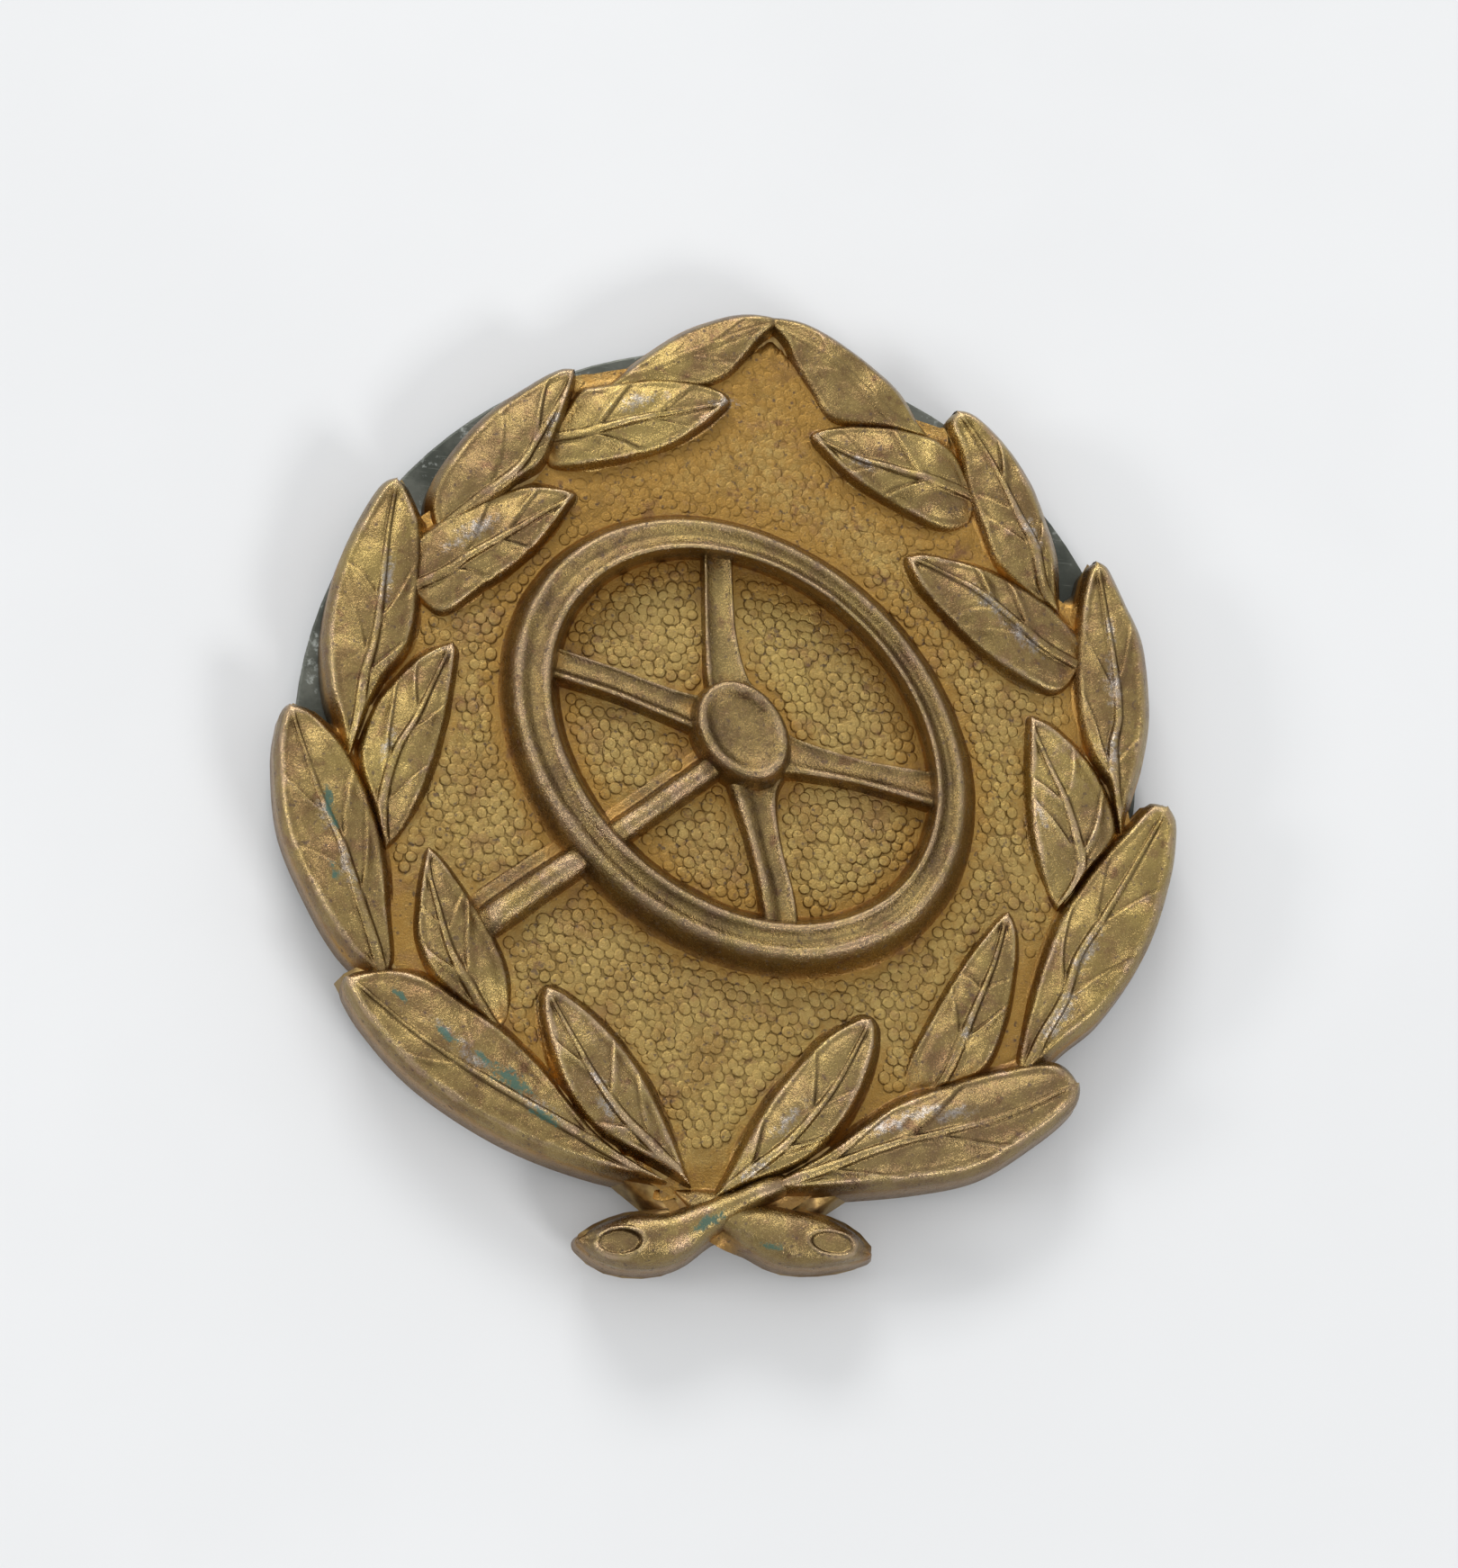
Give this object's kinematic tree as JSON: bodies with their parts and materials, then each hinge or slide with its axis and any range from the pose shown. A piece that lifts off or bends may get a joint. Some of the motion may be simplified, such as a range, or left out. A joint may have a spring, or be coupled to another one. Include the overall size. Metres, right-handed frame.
{
  "type": "driver's badge with wreath and steering wheel",
  "caption": "Hollow-struck brass badge: steering wheel on a pebbled field in a laurel wreath, round zinc back plate, fold-over prongs.",
  "frame": {"origin": "bottom centre of the bounding box, on the surface that the folded prongs rest on", "axes": "+Z out of the badge's front, +Y towards the top of the wreath, +X to the right seen from the front"},
  "size_m": [0.0417, 0.0457, 0.005],
  "materials": {
    "aged_brass": "bronzed and worn, satin",
    "zinc": "dull grey zinc with white corrosion",
    "prong_brass": "bare, dull",
    "solder": "dull soft solder"
  },
  "bodies": {
    "badge": {"front_shell": "aged_brass", "back_plate": "zinc", "prong_base_upper_left": "prong_brass", "prong_base_upper_right": "prong_brass", "prong_base_lower_left": "prong_brass", "prong_base_lower_right": "prong_brass", "solder_upper_left": "solder", "solder_upper_right": "solder", "solder_lower_left": "solder", "solder_lower_right": "solder"},
    "prong_upper_left": {"prong_leg_upper_left": "prong_brass"},
    "prong_upper_right": {"prong_leg_upper_right": "prong_brass"},
    "prong_lower_left": {"prong_leg_lower_left": "prong_brass"},
    "prong_lower_right": {"prong_leg_lower_right": "prong_brass"}
  },
  "joints": [
    {"name": "bend_upper_left", "type": "hinge", "parent": "badge", "child": "prong_upper_left", "pos_m": [-0.0048, 0.0056, 0.00022], "axis": [0, -1, 0], "range_deg": [0, 90]},
    {"name": "bend_upper_right", "type": "hinge", "parent": "badge", "child": "prong_upper_right", "pos_m": [0.0048, 0.0056, 0.00022], "axis": [0, 1, 0], "range_deg": [0, 90]},
    {"name": "bend_lower_left", "type": "hinge", "parent": "badge", "child": "prong_lower_left", "pos_m": [-0.0048, -0.0034, 0.00022], "axis": [0, -1, 0], "range_deg": [0, 90]},
    {"name": "bend_lower_right", "type": "hinge", "parent": "badge", "child": "prong_lower_right", "pos_m": [0.0048, -0.0034, 0.00022], "axis": [0, 1, 0], "range_deg": [0, 90]}
  ]
}
